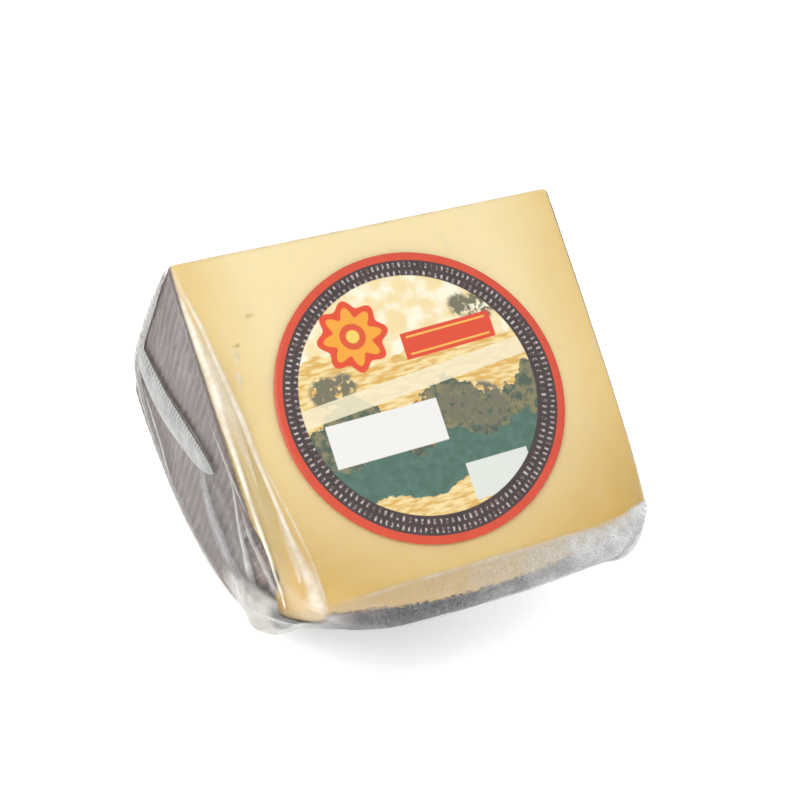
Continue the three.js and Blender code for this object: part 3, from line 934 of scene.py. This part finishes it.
# A cream band, the two blank panels, and a red panel with two stripes
cream_band = panel(tree, -34, 1.5, 34, 6.2, 0.10)
scene_print = over(tree, reckon(tree, "MULTIPLY", cream_band, 0.78), scene_print,
                   paint(238, 228, 196))
scene_print = over(tree, panel(tree, -27, -12.5, 3, -1.5, 0.02), scene_print, paint(232, 230, 227))
scene_print = over(tree, panel(tree, 5, -29, 22, -19.5, 0.02), scene_print, paint(218, 222, 214))
scene_print = over(tree, panel(tree, -1, 9.5, 24, 16.5, 0.04), scene_print, paint(218, 72, 42))
for stripe_low in (10.5, 15.0):
    scene_print = over(tree, panel(tree, 0.4, stripe_low, 22.6, stripe_low + 0.5, 0.04),
                       scene_print, paint(240, 182, 84))


def rosette(tree, centre_right, centre_up, size, swing, petals):
    """1 inside a flower with so many round petals and 0 outside."""
    a, b, apart = spread_from(tree, centre_right, centre_up)
    turn = reckon(tree, "MULTIPLY", reckon(tree, "ARCTAN2", b, a), petals)
    edge = reckon(tree, "MULTIPLY_ADD", reckon(tree, "COSINE", turn), swing, size)
    return rise(tree, reckon(tree, "SUBTRACT", apart, edge), 0.2, -0.2)


for size, swing, petals, ink in ((8.6, 0.9, 8, paint(222, 74, 40)),
                                 (6.4, 1.3, 8, paint(238, 162, 50)),
                                 (3.4, 0, 1, paint(216, 84, 44)), (1.7, 0, 1, paint(244, 204, 96))):
    scene_print = over(tree, rosette(tree, -13, 18.5, size, swing, petals), scene_print, ink)

# The dark band, printed a little off the middle, its two rings of beads and the red rim
from_middle = length_of(tree, right, up)
dark_band = rise(tree, reckon(tree, "MULTIPLY_ADD", reckon(tree, "SUBTRACT", right, up), 0.018,
                              from_middle), DARK_BAND, DARK_BAND + 2 * PRINT_BLUR)
turned = reckon(tree, "ARCTAN2", up, right)
dark = over(tree, mottle(tree, place, 4, 2), paint(46, 38, 44), paint(82, 62, 60))
for bead_ring, count in BEAD_RINGS:
    bead = reckon(tree, "SINE", reckon(tree, "MULTIPLY", turned, count))
    ring = rise(tree, reckon(tree, "ABSOLUTE", reckon(tree, "SUBTRACT", from_middle, bead_ring)),
                0.85, 0.35)
    worn_ink = rise(tree, mottle(tree, place, 0.8, 3, 0.6), 0.4, 0.6, 0.05, 0.9)
    beads = reckon(tree, "MULTIPLY", reckon(tree, "MULTIPLY", rise(tree, bead, 0.0, 0.8), ring),
                   worn_ink)
    dark = over(tree, beads, dark, paint(206, 196, 190))
scene_print = over(tree, dark_band, scene_print, dark)
red_rim = rise(tree, from_middle, RED_RIM, RED_RIM + 2 * PRINT_BLUR)
scene_print = over(tree, red_rim, scene_print,
                   over(tree, mottle(tree, place, 6, 2), paint(202, 66, 40), paint(218, 78, 48)))
feed(tree, shader.inputs["Base Color"], scene_print)
shader.inputs["Roughness"].default_value = 0.38
shader.inputs["Coat Weight"].default_value = 0.2
shader.inputs["Coat Roughness"].default_value = 0.15
feed(tree, shader.inputs["Normal"], relief(tree, mottle(tree, place, 0.5, 2), 0.03))
label.data.materials.append(label_look)
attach(label, "root")
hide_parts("label")


# The setting: a plain pale floor, a white room, one broad soft light from the upper left and a
# weaker one from behind, and the camera where the photograph was taken.

FLOOR_HALF = 3  # half the floor's width, in metres
LAMPS_AIM = Vector((0, 0, 0.05))
SENSOR_MM = 36
LENS_MM = 75.48
CAMERA_PLACE = Vector((-0.15095, -0.35788, 0.28004))
CAMERA_RIGHT = Vector((0.90942, -0.41560, -0.01480))
CAMERA_TOP = Vector((0.22532, 0.46251, 0.85750))

bm = bmesh.new()
bmesh.ops.create_grid(bm, x_segments=8, y_segments=8, size=FLOOR_HALF)
floor_mesh, _ = mesh_of(bm, "floor")
floor = bpy.data.objects.new("floor", floor_mesh)
bpy.context.scene.collection.objects.link(floor)
floor_look, tree, shader = finish("white floor")
feed(tree, shader.inputs["Base Color"], over(
    tree, mottle(tree, wheel_place(tree), 400, 2), paint(244, 244, 244), paint(250, 250, 250)))
shader.inputs["Roughness"].default_value = 0.9
shader.inputs["Emission Color"].default_value = (1, 1, 1, 1)
shader.inputs["Emission Strength"].default_value = 0.5
floor_mesh.materials.append(floor_look)

world = bpy.data.worlds.new("white room")
bpy.context.scene.world = world
world.use_nodes = True
world.node_tree.nodes["Background"].inputs["Color"].default_value = (1, 1, 1, 1)
world.node_tree.nodes["Background"].inputs["Strength"].default_value = 0.8

for name, place, size, power in (("window", (-0.42, -0.30, 0.72), 0.5, 2.2),
                                 ("back_fill", (0.25, 0.7, 0.9), 0.8, 2)):
    lamp = bpy.data.lights.new(name, "AREA")
    lamp.size = size
    lamp.energy = power
    light = bpy.data.objects.new(name, lamp)
    light.location = place
    light.rotation_euler = (LAMPS_AIM - light.location).to_track_quat("-Z", "Y").to_euler()
    bpy.context.scene.collection.objects.link(light)

camera_data = bpy.data.cameras.new("camera")
camera_data.sensor_width = SENSOR_MM
camera_data.lens = LENS_MM
camera = bpy.data.objects.new("camera", camera_data)
bpy.context.scene.collection.objects.link(camera)
to_back = CAMERA_RIGHT.cross(CAMERA_TOP).normalized()
to_top = to_back.cross(CAMERA_RIGHT)  # so that it's square to the other two
camera.matrix_world = (Matrix.Translation(CAMERA_PLACE)
                       @ Matrix((CAMERA_RIGHT, to_top, to_back)).transposed().to_4x4())
bpy.context.scene.camera = camera
bpy.context.scene.view_settings.view_transform = "Standard"
